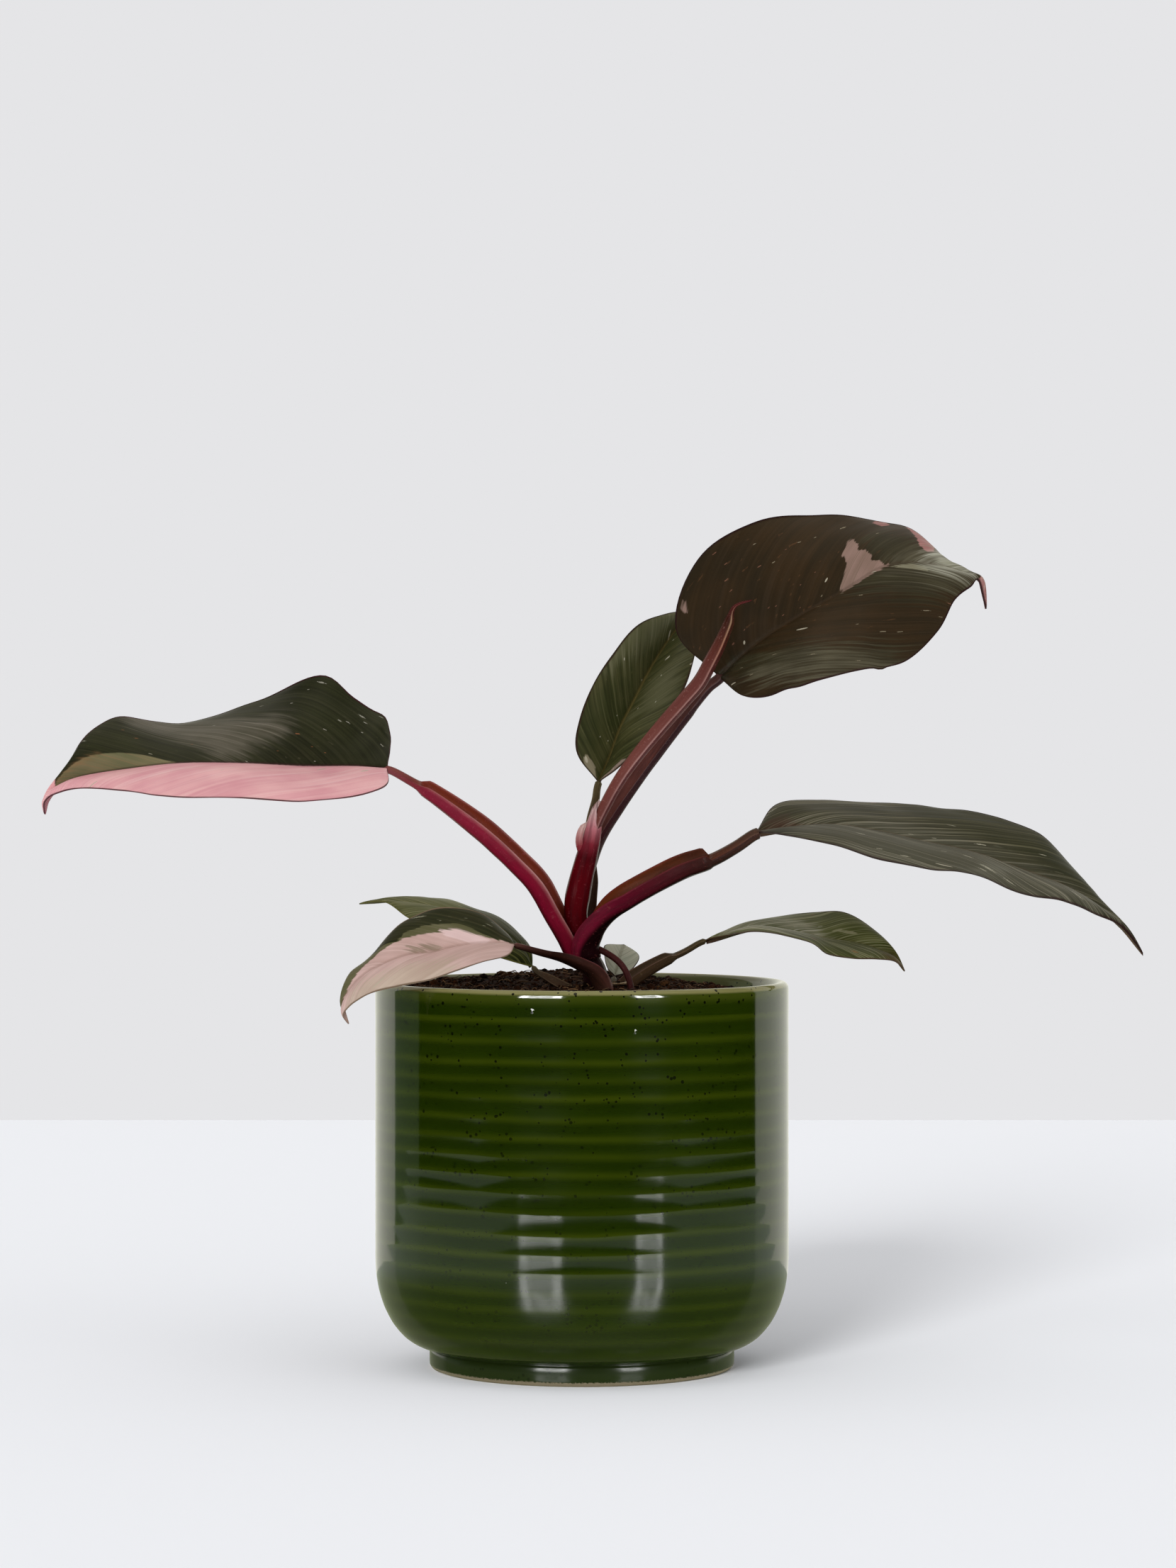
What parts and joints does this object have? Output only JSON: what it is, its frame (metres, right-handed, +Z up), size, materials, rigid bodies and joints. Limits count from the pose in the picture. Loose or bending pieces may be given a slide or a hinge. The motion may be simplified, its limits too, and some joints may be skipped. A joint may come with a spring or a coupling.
{
  "type": "potted variegated philodendron",
  "caption": "Leafy house plant with broad dark and pink leaves on magenta stalks, growing from soil in a ribbed green glazed pot that stands on its flat base.",
  "frame": {"origin": "on the pot's axis, in the plane of its flat base", "axes": "+Z up out of the pot, +X to the right and +Y away for a viewer in front of it"},
  "size_m": [0.397, 0.15, 0.3103],
  "materials": {
    "pot_glaze": "glossy dark green glaze, lighter where it thins over the ribs, buff at the rim and foot",
    "soil": "matt crumbly peat and coir",
    "stem_brown": "satin plant skin",
    "stem_magenta": "satin plant skin",
    "stem_purple": "satin plant skin",
    "blade_half_pink": "silky leaf, half blackish green and half pink",
    "blade_bronze": "silky bronze leaf with pink patches",
    "blade_green": "silky dark green leaf",
    "blade_pink": "silky pink and cream leaf with green margins",
    "new_leaf": "glossy rolled leaf",
    "sheath_red": "glossy deep red sheath",
    "root": "satin root skin"
  },
  "bodies": {
    "root": {"pot": "pot_glaze", "soil": "soil", "main_stem": "stem_brown", "left_petiole": "stem_magenta", "left_blade": "blade_half_pink", "top_petiole": "stem_purple", "top_blade": "blade_bronze", "right_petiole": "stem_magenta", "right_blade": "blade_green", "back_petiole": "stem_brown", "back_blade": "blade_green", "low_right_petiole": "stem_brown", "low_right_blade": "blade_green", "low_left_petiole": "stem_brown", "low_left_blade": "blade_pink", "low_back_petiole": "stem_brown", "low_back_blade": "blade_green", "small_petiole": "stem_brown", "small_blade": "blade_green", "new_leaf": "new_leaf", "cataphyll": "sheath_red", "aerial_root": "root"}
  },
  "joints": []
}
